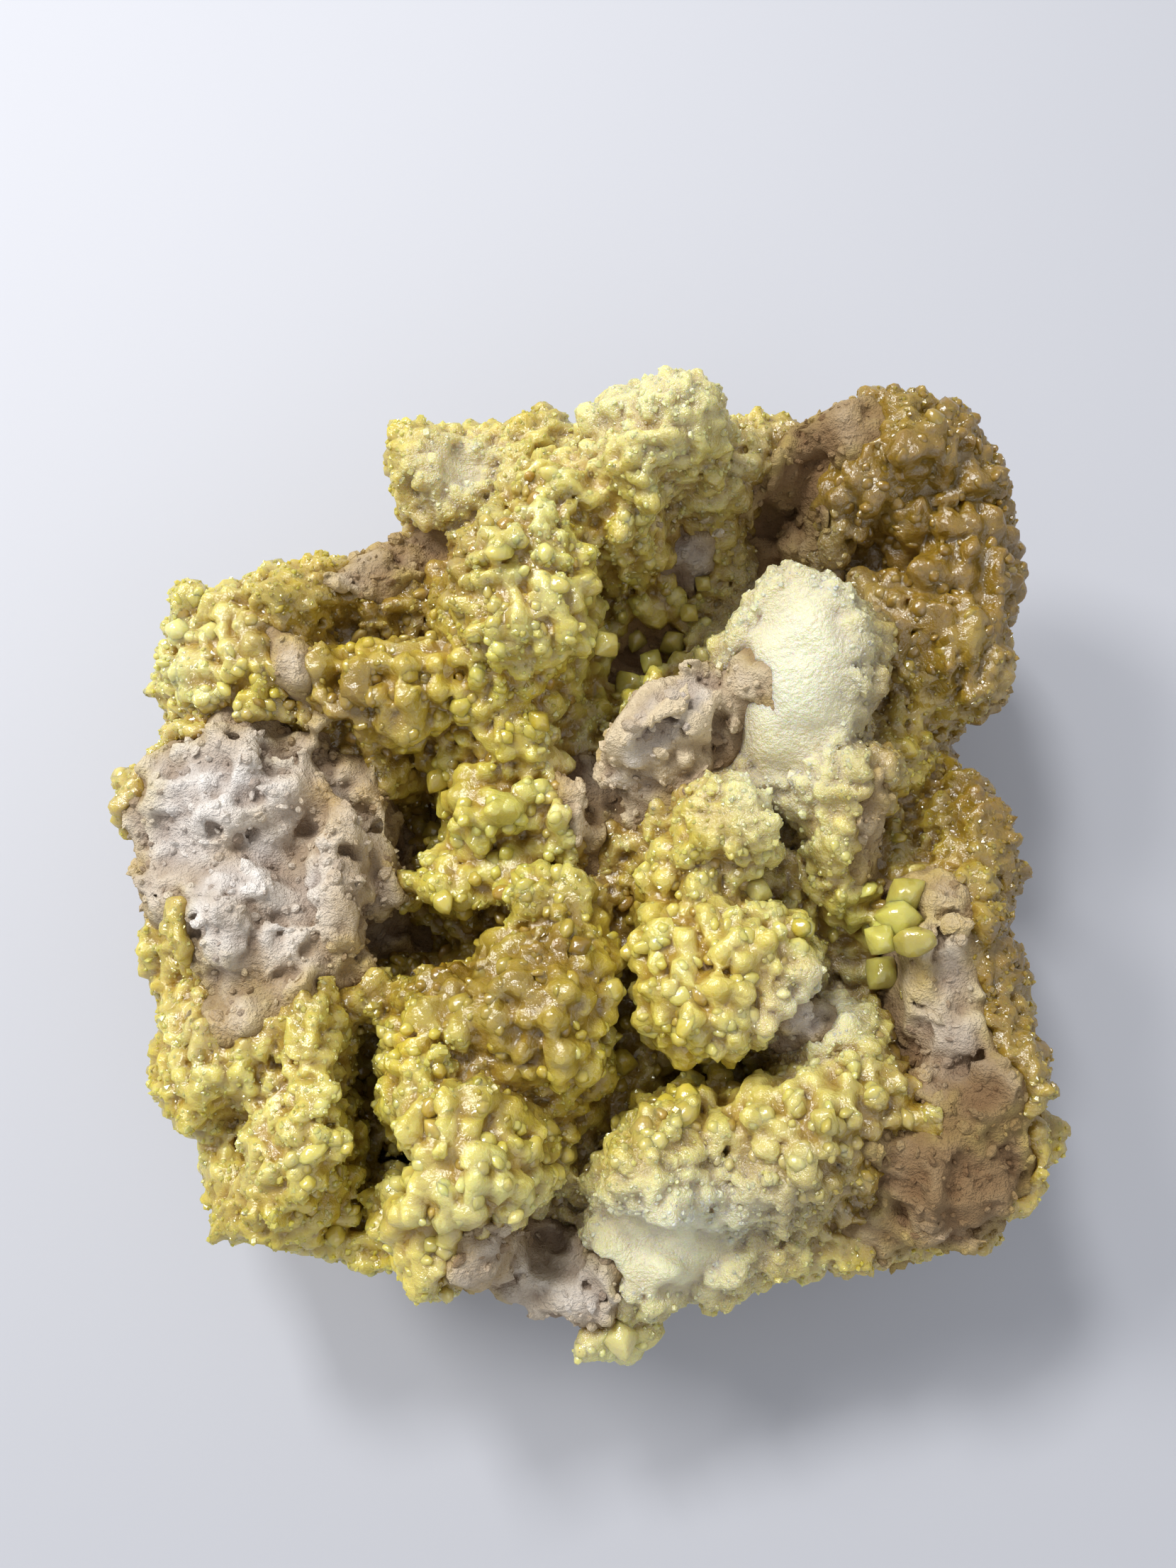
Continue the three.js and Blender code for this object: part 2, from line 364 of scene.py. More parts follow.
# %% The two fields
BARE_EDGE = (0.43, 0.57)  # the crust starts to thin at the first bareness and is gone at the second
FOOT = 4.0  # the relief fades out over this height above the floor
SWELL = 1.3  # the height of the broad swells
SWELL_WAVE = 8.0
KNOB = 1.9  # the height of the knobs
KNOB_WAVE = 7.0
KNOB_LEVEL = 0.42  # the height on a knob, as a share, that the form's skin passes through
CALM_POWDER, CALM_ROCK = 0.5, 0.7  # the share of the knobs that powder and bare rock lack
ROCK_DEPTH = 1.7  # how deep the rock lies under the crust
ROCK_RISE = 1.1  # how much of that it rises where it is bare
CRUST_DEPTH = 1.2  # how deep the ground that the crystals stand on lies
CRUST_DIVE = 3.2  # how much deeper it dives where the rock is bare

foot = ramp(cells[:, 2], 0.0, FOOT)
bare = bareness(cells)
show = ramp(bare, *BARE_EDGE)
powder = np.clip(ovals(cells, POWDER), 0, 1)
calm = 1 - np.maximum(CALM_POWDER * powder, CALM_ROCK * show)
base = form[near] + foot * SWELL * value_noise(cells, SWELL_WAVE, 1)
base += foot * calm * KNOB * (KNOB_LEVEL - knobs(cells, KNOB_WAVE, 2))
rock = base + ROCK_DEPTH - ROCK_RISE * show
crust = base + CRUST_DEPTH + CRUST_DIVE * show
print("rock shows on", int(100 * show.mean()), "% of them")

# %% [markdown]
# ## Fine relief
#
# The bare rock is gritty, with round pits that steam left, and the rib's rock splits along its length.
# The crust's ground is lumpy where crystals will stand and a rough plaster where it is powder. Each is
# worked out only in the cells where it can reach the skin.

# %% Grit, pits and lumps
REACHED = 2.6  # how far from a skin its fine relief can matter
ROCK_FROM, CRUST_TO = 0.1, 0.95  # rock has relief over the first showing, the crust up to the second
PLAIN_BELOW = 1.5  # no grit or pit starts lower than this
GRIT_WAVES = {3.4: (0.8, 3), 1.8: (0.8, 4), 1.1: (0.6, 9)}  # wave in mm: height in mm and seed
SPLIT = 1.5  # the height of the splits
PIT, PIT_WAVE = 2.8, 2.8  # how deep the deepest pit would be, and how far apart pits are
PITLESS = 0.3  # the share of places for a pit that have none
PIT_NARROW = 3.2  # a pit ends where this times its squared radius, in units of the wave, is 1
WARP, WARP_WAVE = 0.8, 2.0  # noise that bends the pits out of round
LUMP, LUMP_WAVE = 0.9, 3.6
LUMP_LEVEL = 0.35  # the height on a lump, as a share, that stays where it was
LUMP_CALM = 0.7  # the share of the lumps that powder lacks
FRET, FRET_WAVE = 0.35, 1.6  # a slight roughness of the whole crust
PLASTER_WAVES = {3.4: (0.9, 11), 1.4: (0.6, 12)}  # the roughness of powder, as for grit
PLASTER_RISE = 0.4

bare_cells = (show > ROCK_FROM) & (np.abs(rock) < REACHED) & (cells[:, 2] > PLAIN_BELOW)
bare_cells = np.nonzero(bare_cells)[0]
spots = cells[bare_cells]
warp = np.stack([value_noise(spots, WARP_WAVE, seed) for seed in (61, 62, 63)], 1)
grit = sum(height * value_noise(spots, wave, seed) for wave, (height, seed) in GRIT_WAVES.items())
grit += SPLIT * splits(spots)
gap, mark = cell_noise(spots + WARP * warp, PIT_WAVE, 5)
pits = np.maximum(PIT * (mark - PITLESS) * (1 - PIT_NARROW * gap**2), 0)
rock[bare_cells] += (grit + pits) * show[bare_cells]

grown_cells = np.nonzero((show < CRUST_TO) & (np.abs(crust) < REACHED))[0]
spots = cells[grown_cells]
powdery = powder[grown_cells]
lumps = LUMP * (knobs(spots, LUMP_WAVE, 7) - LUMP_LEVEL) * (1 - LUMP_CALM * powdery)
plaster = sum(height * value_noise(spots, wave, seed) for wave, (height, seed) in PLASTER_WAVES.items())
fret = FRET * value_noise(spots, FRET_WAVE, 8) + powdery * (plaster - PLASTER_RISE)
crust[grown_cells] -= foot[grown_cells] * (lumps - fret)
print("fine relief on", len(bare_cells), "rock cells and", len(grown_cells), "crust cells")

# %% [markdown]
# ## Skins as meshes
#
# OpenVDB puts a face wherever the field changes sign, and merges faces on flat stretches, which keeps
# the count down where nothing happens. Each mesh is stored from arrays.

# %% From a field to a mesh
def mesh_object(name, points, faces, smooth=True):
    """A new object from points in mm and a list of face arrays of 3 or 4 corners each."""
    mesh = bpy.data.meshes.new(name)
    counts = np.concatenate([np.full(len(part), part.shape[1]) for part in faces])
    corners = np.concatenate([part.ravel() for part in faces])
    mesh.vertices.add(len(points))
    mesh.vertices.foreach_set("co", (points * MM).astype(np.float32).ravel())
    mesh.loops.add(len(corners))
    mesh.loops.foreach_set("vertex_index", corners.astype(np.int32))
    mesh.polygons.add(len(counts))
    mesh.polygons.foreach_set("loop_start", (np.cumsum(counts) - counts).astype(np.int32))
    mesh.polygons.foreach_set("loop_total", counts.astype(np.int32))
    mesh.polygons.foreach_set("use_smooth", np.full(len(counts), smooth))
    mesh.update(calc_edges=True)
    mesh.validate()
    return in_scene(name, mesh)


def whole(values):
    """The worked-on cells' values as a field on the whole grid, cut off flat at the floor: the
    larger of the value and minus the height."""
    field = np.where(form > 0, BAND, -BAND).astype(np.float32)
    field[near] = values
    heights = (np.arange(form.shape[2]) - CELLS_BELOW) * CELL
    return np.maximum(field, -heights.astype(np.float32))


def skin(field, flatten):
    """The points and faces of the surface where a field is zero. Small faces merge where the skin
    is flat, the more so the larger flatten is."""
    grid = openvdb.FloatGrid(BAND)
    grid.transform = openvdb.createLinearTransform(CELL)
    grid.copyFromArray(field, ijk=tuple(int(i) for i in first_cell))
    points, triangles, quads = grid.convertToPolygons(isovalue=0.0, adaptivity=flatten)
    points[:, 2] = np.maximum(points[:, 2], 0.0)
    return points, [part for part in (triangles, quads) if len(part)]


MOST_TRIANGLES = 190_000  # in one piece
FLAT_ROCK, FLAT_CRUST, FLAT_DRUSE = 0.25, 0.4, 0.12  # how freely faces merge on each skin


def thinned(piece):
    """Collapses the least telling edges until the piece is within the limit."""
    count = sum(len(face.vertices) - 2 for face in piece.data.polygons)
    print(piece.name, "has", count, "triangles")
    if count <= MOST_TRIANGLES:
        return
    decimate = piece.modifiers.new("fewer faces", "DECIMATE")
    decimate.ratio = MOST_TRIANGLES / count
    shown = piece.evaluated_get(bpy.context.evaluated_depsgraph_get())
    mesh = bpy.data.meshes.new_from_object(shown)
    piece.modifiers.clear()
    piece.data = mesh
    mesh.name = piece.name
    print(piece.name, "is thinned to", len(mesh.polygons), "faces")


host_rock = mesh_object("host_rock", *skin(whole(rock), FLAT_ROCK))
bare_crust = mesh_object("bare_crust", *skin(whole(crust), FLAT_CRUST))
thinned(host_rock)
print("bare_crust has", len(bare_crust.data.vertices), "points")

# %% [markdown]
# ## Crystals
#
# A sulfur crystal is a steep eight-sided bipyramid with a blunt tip, and in this druse it is rounded
# nearly to a bead. One formula gives both: how far out a point is, is the p-norm of how far it lies
# towards each face, and the crystal's skin is where that is 1. A high p gives flat faces, a low p a
# pebble. The formula serves the crystals of the crust and those that stand free.

# %% One crystal
LENGTHS = np.array([0.813, 1.0, 1.903]) ** 0.45  # sulfur's axes a, b and c, drawn together
BLUNT = 0.75  # how far the end faces are cut back
GIRTH = 1.35  # brings the mean radius to 1 or so
corners = np.array(list(np.ndindex(2, 2, 2))) * 2 - 1
ends = np.array([[0, 0, 1 / BLUNT], [0, 0, -1 / BLUNT]])
FACES = np.concatenate([corners / LENGTHS, ends]) / GIRTH


def gauge(points):
    """How far out each point is, with 1 on the crystal's skin. It is the 9-norm of how far the point
    lies towards each face: (sum of max(0, point . face)^9)^(1/9)."""
    lean = np.maximum(points @ FACES.T.astype(points.dtype), 0)
    lean = lean * lean * lean
    lean *= np.sqrt(lean)
    return np.einsum("...k,...k->...", lean, lean) ** (1 / 9)


def crystal(around, along):
    """Points and faces of a closed crystal of radius 1 or so. Two parameters run over it, the turn
    u about c and the angle v down from the tip, and radius(u, v) = 1 / gauge(direction)."""
    u = np.arange(around) * 2 * np.pi / around
    v = np.arange(1, along) * np.pi / along
    u, v = (grid.ravel() for grid in np.meshgrid(u, v))
    ring = np.stack([np.sin(v) * np.cos(u), np.sin(v) * np.sin(u), np.cos(v)], 1)
    rays = np.concatenate([[[0, 0, 1]], ring, [[0, 0, -1]]])
    points = rays / gauge(rays)[:, None]
    first = 1 + np.arange(around)
    after = 1 + (np.arange(around) + 1) % around
    last = len(points) - 1
    low = last - around - 1
    caps = np.concatenate([
        np.stack([np.zeros(around, int), first, after], 1),
        np.stack([np.full(around, last), low + after, low + first], 1),
    ])
    down = (np.arange(along - 2) * around)[:, None]
    sides = np.stack([first + down, first + down + around, after + down + around, after + down], -1)
    return points, caps, sides.reshape(-1, 4)


print("a crystal of 10 by 6 has", len(crystal(10, 6)[0]), "points")

# %% [markdown]
# ## Where crystals stand
#
# Points are scattered evenly over a skin, and one crystal is grown for each small cube of space that
# the skin passes through, at the mean of its points. That spaces the crystals evenly, and a little
# noise keeps them from lining up.

# %% Scatter and settle
rng = np.random.default_rng(SEED)


def triangles_of(piece):
    """The corner points of each triangle of a piece in mm, its normal, and its area."""
    points, corners = mesh_arrays(piece)
    a, b, c = (points[corners[:, k]] for k in range(3))
    normal = np.cross(b - a, c - a)
    double_area = np.linalg.norm(normal, axis=1)
    return a, b, c, normal / np.maximum(double_area, 1e-9)[:, None], double_area / 2


def scatter(surface, per_mm2):
    """Random points on a surface, so many to a square millimetre, with the normals there."""
    a, b, c, normal, area = surface
    count = int(area.sum() * per_mm2)
    pick = rng.choice(len(area), count, p=area / area.sum())
    s, t = rng.random(count), rng.random(count)
    over = s + t > 1
    s, t = np.where(over, 1 - s, s)[:, None], np.where(over, 1 - t, t)[:, None]
    return a[pick] + s * (b[pick] - a[pick]) + t * (c[pick] - a[pick]), normal[pick]


FULLNESS = 0.4  # a cube with less than this share of the usual number of points is left empty
AGREEMENT = 0.3  # and so is one whose normals cancel out to less than this
JITTER = 0.12  # how far a crystal strays, as a share of the cube's side


def settle(points, normals, side):
    """One place for each cube of that side: the mean of its points and of its normals."""
    cube = np.floor(points / side + rng.random(3)).astype(np.int64)
    _, index, count = np.unique(cube, axis=0, return_inverse=True, return_counts=True)
    index = index.ravel()
    mean = [np.bincount(index, values) / count for values in (*points.T, *normals.T)]
    place, normal = np.stack(mean[:3], 1), np.stack(mean[3:], 1)
    length = np.linalg.norm(normal, axis=1)
    keep = (count > FULLNESS * np.median(count)) & (length > AGREEMENT)
    place, normal = place[keep], normal[keep] / length[keep, None]
    return place + rng.normal(0, JITTER * side, place.shape), normal


def postures(normals, sizes, stretch, tilt):
    """A turn and three scales for each crystal. Each stands along the normal, tilted and spun at
    random, and is stretched a little along each of its axes."""
    count = len(normals)
    axis = normals + tilt * rng.normal(0, 0.5, (count, 3))
    axis /= np.linalg.norm(axis, axis=1)[:, None]
    side = np.cross(axis, rng.normal(0, 1, (count, 3)))
    side /= np.linalg.norm(side, axis=1)[:, None]
    turns = np.stack([side, np.cross(axis, side), axis], 2)
    return turns, sizes[:, None] * (1 + stretch * rng.uniform(-1, 1, (count, 3)))


print("the bare rock's skin has", int(triangles_of(host_rock)[4].sum() / 100), "cm2")

# %% [markdown]
# ## Crystals in a crust and free crystals
#
# Crystals that touch grow into each other, so most are stamped in the crust's field, where they fuse
# with a crease between them. Meshes would cost more faces and cross their neighbours. Only the smallest
# and the loosest crystals are meshes, joined by thousands to one piece.

# %% Stamp crystals in a field
MELT = 0.12  # how far two crystals melt into each other
REACH = 0.9  # how far past its skin a crystal is felt
FAR = 3.0  # a distance that is as good as endless here
LONGEST = 1.5  # no crystal reaches out further than this times its mean radius
BATCH = 256  # crystals stamped at a time


def stamped(field, places, turns, scales):
    """The field with crystals joined to it: -m ln(e^(-field / m) + sum of e^(-distance / m)), with
    m the melt and a crystal's distance its mean radius times (gauge - 1)."""
    radius = scales.mean(1)
    reach = math.ceil((LONGEST * radius.max() + REACH) / CELL)
    steps = np.arange(-reach, reach + 1)
    steps = np.stack(np.meshgrid(steps, steps, steps, indexing="ij"), -1).reshape(-1, 3)
    steps = steps[np.linalg.norm(steps, axis=1) <= reach]
    middle = np.round(places / CELL).astype(int)
    joined = np.exp(-np.clip(field, -FAR, FAR) / MELT, dtype=np.float64).ravel()
    for k in range(0, len(places), BATCH):
        part = slice(k, k + BATCH)
        spots = middle[part, None] + steps[None]
        away = (spots * CELL - places[part, None]).astype(np.float32)
        local = np.einsum("nij,nki->nkj", turns[part].astype(np.float32), away)
        local /= scales[part, None].astype(np.float32)
        distance = radius[part, None] * (gauge(local) - 1)
        felt = distance < REACH
        index = np.ravel_multi_index((spots[felt] - first_cell).T, field.shape, mode="clip")
        np.add.at(joined, index, np.exp(-np.maximum(distance[felt], -FAR) / MELT))
    return (-MELT * np.log(joined)).reshape(field.shape).astype(np.float32)


# %% Grow free crystals
FLAT_POINTS = 30  # a crystal with no more points than this keeps flat faces


def grown(name, template, places, turns, scales):
    """Meshes with the template crystal at each place, turned and scaled, as many as it takes to
    keep each within the limit, with the crystals' tips."""
    points, *faces = template
    triangles = sum(len(part) * (part.shape[1] - 2) for part in faces)
    local = points[None] * scales[:, None]
    world = np.einsum("nij,nkj->nki", turns, local) + places[:, None]
    tips = places + turns[:, :, 2] * scales[:, 2:]
    count = math.ceil(len(places) * triangles / MOST_TRIANGLES)
    parts = np.array_split(np.arange(len(places)), count)
    print(name, "are", len(places), "in", len(parts), "pieces of", len(places) * triangles, "triangles")
    pieces = {}
    for number, part in enumerate(parts, 1):
        offset = (np.arange(len(part)) * len(points))[:, None, None]
        corners = [(face[None] + offset).reshape(-1, face.shape[1]) for face in faces]
        label = name if len(parts) == 1 else f"{name}_{number}"
        smooth = len(points) > FLAT_POINTS
        piece = mesh_object(label, world[part].reshape(-1, 3), corners, smooth)
        pieces[piece] = tips[part]
    return pieces


# %% [markdown]
# ## The druse
#
# The crystals are coarse where the vapour had room and time, as in the middle, and fine on the crests.
# So the crust's points are sorted by a coarseness map, and each kind has its own spacing. The large
# crystals are stamped in the crust, and free ones are perched on it afterwards.

# %% Coarse and fine ground
# name: centre x and y, half sizes, turn in degrees, strength
COARSE_DRUSE = {
    "north-west": (-17, 16, 9, 8, 0, 1.1),
    "north-west edge": (-36, 22, 6, 8, 0, 0.6),
    "middle": (-6, -14, 12, 9, 0, 0.95),
    "tongue": (-9, -31, 9, 10, -20, 0.95),
    "east druse": (12, -11, 10, 9, 0, 0.9),
    "south-east": (20, -27, 13, 8, 20, 1.0),
    "north-east": (36, 30, 11, 12, 0, 1.0),
    "centre": (-8, 4, 7, 7, 0, 0.95),
    "hollow": (7, 23, 8, 6, 48, 1.0),
    "rim hollow": (30, -8, 4, 7, 0, 1.0),
    "south tip": (4, -46, 5, 5, 0, 1.1),
    "west of the peak": (-7, 22, 8, 12, 0, 0.5),
}
COARSE_WANDER, COARSE_WAVE = 0.35, 7.0  # noise on the coarseness: strength, and wave in mm
FINER_POWDER = 2  # how much powder takes off the coarseness
STAND_OUT = 1.0  # how far past the CAD box a crystal may reach
FLOOR_GAP = 0.2  # and how far above the floor its foot stays
CLEAR = 1.2  # nothing grows lower than this
GROUND_POINTS = 6.0  # scattered on a square millimetre before they are settled
DRUSE_POINTS = 8.0


def crust_ground(piece, per_mm2):
    """Points on the crust where it shows: not under bare rock and not near the floor, with how
    coarse the druse is there."""
    points, normals = scatter(triangles_of(piece), per_mm2)
    shows = (bareness(points) < BARE) & (points[:, 2] > CLEAR)
    points, normals = points[shows], normals[shows]
    coarse = ovals(points, COARSE_DRUSE) + COARSE_WANDER * value_noise(points, COARSE_WAVE, 31)
    return points, normals, coarse - FINER_POWDER * ovals(points, POWDER)


def inside_box(places, sizes):
    """Which crystals stay within the CAD box, give or take what may stand out."""
    room = np.minimum(places - lowest, highest - places).min(1)
    return (room > sizes - STAND_OUT) & (places[:, 2] > sizes + FLOOR_GAP)


def planted(points, normals, spacing, radius, spread, lift, share=1.0):
    """Crystals on the ground, one for each cube of the spacing: their places, lifted by so many
    radii, their ways up and their mean radii, which differ by a spread. A share of them is kept."""
    places, ups = settle(points, normals, spacing)
    sizes = radius * rng.lognormal(0, spread, len(places))
    places = places + ups * (lift * sizes)[:, None]
    kept = inside_box(places, sizes)
    if share < 1:
        kept &= rng.random(len(places)) < share
    return places[kept], ups[kept], sizes[kept]


points, normals, coarse = crust_ground(bare_crust, GROUND_POINTS)
print("ground of", len(points), "points for the druse")

# %% Stamp the druse
STOOD_UP = 0.3  # how far out of the ground a stamped crystal's centre is, in radii

# kind: coarseness from and to, spacing and mean radius
STAMPED = {
    "coarse": (0.62, 9.0, 2.4, 1.25),
    "middling": (0.15, 0.62, 2.0, 1.0),
    "fine": (-0.9, 0.15, 1.5, 0.78),
}
druse = whole(crust)
for kind, (least, most, spacing, radius) in STAMPED.items():
    here = (coarse >= least) & (coarse < most)
    ground = points[here], normals[here]
    places, ups, sizes = planted(*ground, spacing, radius, spread=0.22, lift=STOOD_UP)
    druse = stamped(druse, places, *postures(ups, sizes, stretch=0.25, tilt=0.6))
    print("stamped", len(places), kind, "crystals")
sulfur_crust = mesh_object("sulfur_crust", *skin(druse, FLAT_DRUSE))
bpy.data.objects.remove(bare_crust)
thinned(sulfur_crust)

# %% Free crystals
BURIED = 0.6  # how deep in the crust a free crystal's centre is, in radii

FREE = {
    # kind: coarseness from and to, spacing, share kept, mean radius, and the template's turns and rings
    "perched": (0.2, 9.0, 1.6, 0.5, 0.7, (10, 6)),
    "sugar": (-0.9, 0.55, 0.7, 0.8, 0.32, (5, 3)),
}
points, normals, coarse = crust_ground(sulfur_crust, DRUSE_POINTS)
crystals = {}
for kind, (least, most, spacing, share, radius, shape) in FREE.items():
    here = (coarse >= least) & (coarse < most)
    ground = points[here], normals[here]
    places, ups, sizes = planted(*ground, spacing, radius, spread=0.25, lift=-BURIED, share=share)
    stance = postures(ups, sizes, stretch=0.35, tilt=1.0)
    crystals |= grown(kind + "_crystals", crystal(*shape), places, *stance)

# %% Large glassy crystals
# where each stands in plan, and its radius
GLASSY = [
    (31.4, -4.4, 1.9), (30.6, -6.8, 2.0), (31.2, -9.2, 1.9), (30.2, -11.4, 1.8), (28.6, -8.8, 1.6),
    (3.0, 19.5, 1.5), (5.6, 19.0, 1.6), (8.0, 21.5, 1.3), (10.5, 24.0, 1.5), (12.0, 26.5, 1.2),
    (6.5, 24.5, 1.2), (3.6, 22.5, 1.1), (13.5, 29.5, 1.1), (-3.5, 12.5, 1.2), (-14.0, 8.0, 1.3),
    (-15.5, 4.5, 1.2), (-13.0, -4.5, 1.3), (4.4, -45.5, 1.8), (0.5, -9.5, 1.2), (17.5, -4.0, 1.3),
]
SUNK = 0.2  # how deep a large crystal's centre is, in radii
FOOTPRINT = 0.6  # the share of its radius within which the ground's highest point holds it up
skin_points = np.concatenate([triangles_of(piece)[0] for piece in (sulfur_crust, host_rock)])
places = []
for x, y, radius in GLASSY:
    away = np.hypot(skin_points[:, 0] - x, skin_points[:, 1] - y)
    under = skin_points[away < FOOTPRINT * radius]
    places.append((x, y, under[:, 2].max() - SUNK * radius))
places = np.array(places)
sizes = np.array([radius for _, _, radius in GLASSY])
ups = np.tile([0.0, 0.0, 1.0], (len(places), 1))
stance = postures(ups, sizes, stretch=0.2, tilt=0.7)
glassy = grown("glassy_crystals", crystal(16, 11), places, *stance)

# %% Crumbs of rock
CRUMB_SPACING = 1.1
CRUMB_RADIUS = 0.36
CRUMB_SUNK = 0.35  # how deep a crumb's centre is, in radii
CRUMB_SHARE = 0.7  # of the places that keep their crumb

points, normals = scatter(triangles_of(host_rock), GROUND_POINTS)
shows = (bareness(points) > BARE) & (points[:, 2] > CLEAR)
ground = points[shows], normals[shows], CRUMB_SPACING, CRUMB_RADIUS
places, ups, sizes = planted(*ground, spread=0.4, lift=-CRUMB_SUNK, share=CRUMB_SHARE)
stance = postures(ups, sizes, stretch=0.5, tilt=3.0)
crumbs = grown("rock_crumbs", crystal(6, 4), places, *stance)

# %% [markdown]
# ## How deep a place lies
#
# In the creases and the vugs the sulfur is brown, partly with trapped dust and partly as painted shade,
# since little light gets in there, and the crests are pale. How much of a soft ball around a point is
# solid tells them apart: half on a flat, less on a crest, more in a crease. A small ball finds creases,
# and a large one vugs.

# %% Depth in the form
COARSE = 2  # every second cell is enough for the large ball
CREASE_BALL, VUG_BALL = 0.9, 4.0  # the balls' spreads
CREASED = (0.35, 0.66)  # the solid share of the ball at which a crease starts, and at its bottom
HOLLOWED = (0.5, 0.82)  # the same for a vug

solid_cells = (np.minimum(druse, whole(rock)) < 0).astype(np.float32)
crease_share = blurred(solid_cells, CREASE_BALL)
vug_share = blurred(solid_cells[::COARSE, ::COARSE, ::COARSE], VUG_BALL, CELL * COARSE)


def sampled(grid, points, spacing):
    """A grid's value at each point, blended from the eight cells around it."""
    place = ((points - first_cell * CELL) / spacing).astype(np.float32)
    place = np.clip(place, 0, np.array(grid.shape) - 1.001)
    corner = place.astype(np.int32)
    f = place - corner
    total = np.zeros(len(points), np.float32)
    for step in np.ndindex(2, 2, 2):
        x, y, z = (corner + np.array(step, np.int32)).T
        weight = np.prod(np.abs(1 - np.array(step, np.float32) - f), axis=1)
        total += weight * grid[x, y, z]
    return total


def depths_at(points):
    """How deep in a crease, and how deep in a vug, a place lies: each 0 on a crest and 1 at the
    bottom."""
    crease = ramp(sampled(crease_share, points, CELL), *CREASED)
    vug = ramp(sampled(vug_share, points, CELL * COARSE), *HOLLOWED)
    return {"crease": crease, "vug": vug}


def paint(piece, maps):
    """Stores named maps on a piece, for its material to read. A map with fewer values than the
    piece has points gives each value to as many points in a row."""
    for name, values in maps.items():
        repeat = len(piece.data.vertices) // len(values)
        layer = piece.data.attributes.new(name, "FLOAT", "POINT")
        layer.data.foreach_set("value", np.repeat(values, repeat).astype(np.float32))


print("solid cells:", int(solid_cells.sum()))

# %% [markdown]
# ## Colour as numbers on the points
#
# The materials need to know where the sulfur is pale, green or amber, where the rock is white or brown,
# and how deep a place lies. The amber and the brown are partly painted shade on the sides that face away
# from the light. Each is one number per point, from maps of ovals and noise.

# %% Colour maps
PALE_SULFUR = {
    "peak": (7, 40, 10, 7, 0, 0.9),
    "west peak": (-5, 25, 4, 9, 0, 0.7),
    "north-west edge": (-38, 22, 6, 9, -30, 0.8),
    "ridge face": (20.5, 15.5, 6, 11, -6, 1.2),
    "south-west block": (-30, -22, 9, 9, 0, 0.5),
    "east druse": (13, -11, 8, 7, 0, 0.5),
    "tongue": (-9, -32, 7, 8, 0, 0.8),
    "south foot": (9, -36, 9, 7, 0, 1.0),
    "ledge": (23, -15, 5, 4, 30, 0.9),
    "lobe": (-6, 27, 6, 5, 0, 0.6),
    "south tip": (4, -46, 5, 5, 0, 0.9),
    "fin": (1, 5, 5, 8, 0, 0.7),
    "south-east": (22, -24, 9, 5, 20, 0.4),
}
# amber sulfur, partly painted shade: the north-east, the east wall and the low places lie away from the
# light and are painted darker
AMBER_AND_SHADED_SULFUR = {
    "north-east": (38, 32, 16, 17, 0, 1.4),
    "east wall": (44, 0, 9, 30, 0, 1.1),
    "north-west valley": (-20, 26, 9, 6, 25, 0.9),
    "north-west druse": (-20, 14, 8, 6, 0, 0.65),
    "middle": (-6, -12, 9, 7, 0, 0.9),
    "south-east": (26, -31, 12, 6, 20, 0.7),
    "east of the ridge": (30, 12, 4, 12, 0, 0.8),
}
GREEN_SULFUR = {
    "rim hollow": (30, -8, 5, 7, 0, 1.0),
    "centre": (-8, 5, 7, 8, 0, 0.7),
    "middle": (-8, -12, 9, 8, 0, 0.4),
    "hollow": (8, 22, 8, 6, 48, 0.9),
}
SULFUR_TINTS = {"pale": PALE_SULFUR, "amber_and_shade": AMBER_AND_SHADED_SULFUR, "green": GREEN_SULFUR}
ROCK_TINTS = {"white": WHITE_ROCK, "brown_and_shade": BROWN_AND_SHADED_ROCK}
SULFUR_WANDER, SULFUR_WANDER_WAVE = 0.35, 5.0  # noise on the tints: strength, and wave in mm
ROCK_WANDER, ROCK_WANDER_WAVE = 0.4, 3.0
DUSTY = (0.15, 0.55)  # dust lies on the crust from the first bareness, fully from the second
STAINED = (0.5, 0.85)  # sulfur stains rock fully up to the first bareness, and none from the second
STREAKED = (0.0, 0.35)  # what stands up between splits pales from the first height to the second


def paint_sulfur(piece, places, spread):
    """Gives each point of a piece its colours. The maps are read at the places, and spread is how
    much one place differs from the next."""
    maps = depths_at(places)
    for seed, (name, table) in enumerate(SULFUR_TINTS.items(), 41):
        value = ovals(places, table) + SULFUR_WANDER * value_noise(places, SULFUR_WANDER_WAVE, seed)
        maps[name] = np.clip(value + spread * rng.normal(0, 1, len(places)), 0, 1)
    maps["dust"] = ramp(bareness(places), *DUSTY)
    maps["powder"] = np.clip(ovals(places, POWDER), 0, 1)
    paint(piece, maps)


def paint_rock(piece, places):
    """The same for rock: how white it is, how much brownish colour and painted shade it has, how deep it
    lies, how much sulfur stains it near the crust, and where it stands up between splits."""
    maps = depths_at(places)
    for seed, (name, table) in enumerate(ROCK_TINTS.items(), 51):
        value = ovals(places, table) + ROCK_WANDER * value_noise(places, ROCK_WANDER_WAVE, seed)
        maps[name] = np.clip(value, 0, 1)
    maps["stain"] = ramp(-bareness(places), -STAINED[1], -STAINED[0])
    maps["streak"] = ramp(-splits(places), *STREAKED)
    paint(piece, maps)


paint_sulfur(sulfur_crust, mesh_arrays(sulfur_crust)[0], spread=0.0)
for piece, places in (crystals | glassy).items():
    paint_sulfur(piece, places, spread=0.1)
paint_rock(host_rock, mesh_arrays(host_rock)[0])
for piece, places in crumbs.items():
    paint_rock(piece, places)
print("painted on the crust:", [layer.name for layer in sulfur_crust.data.attributes])

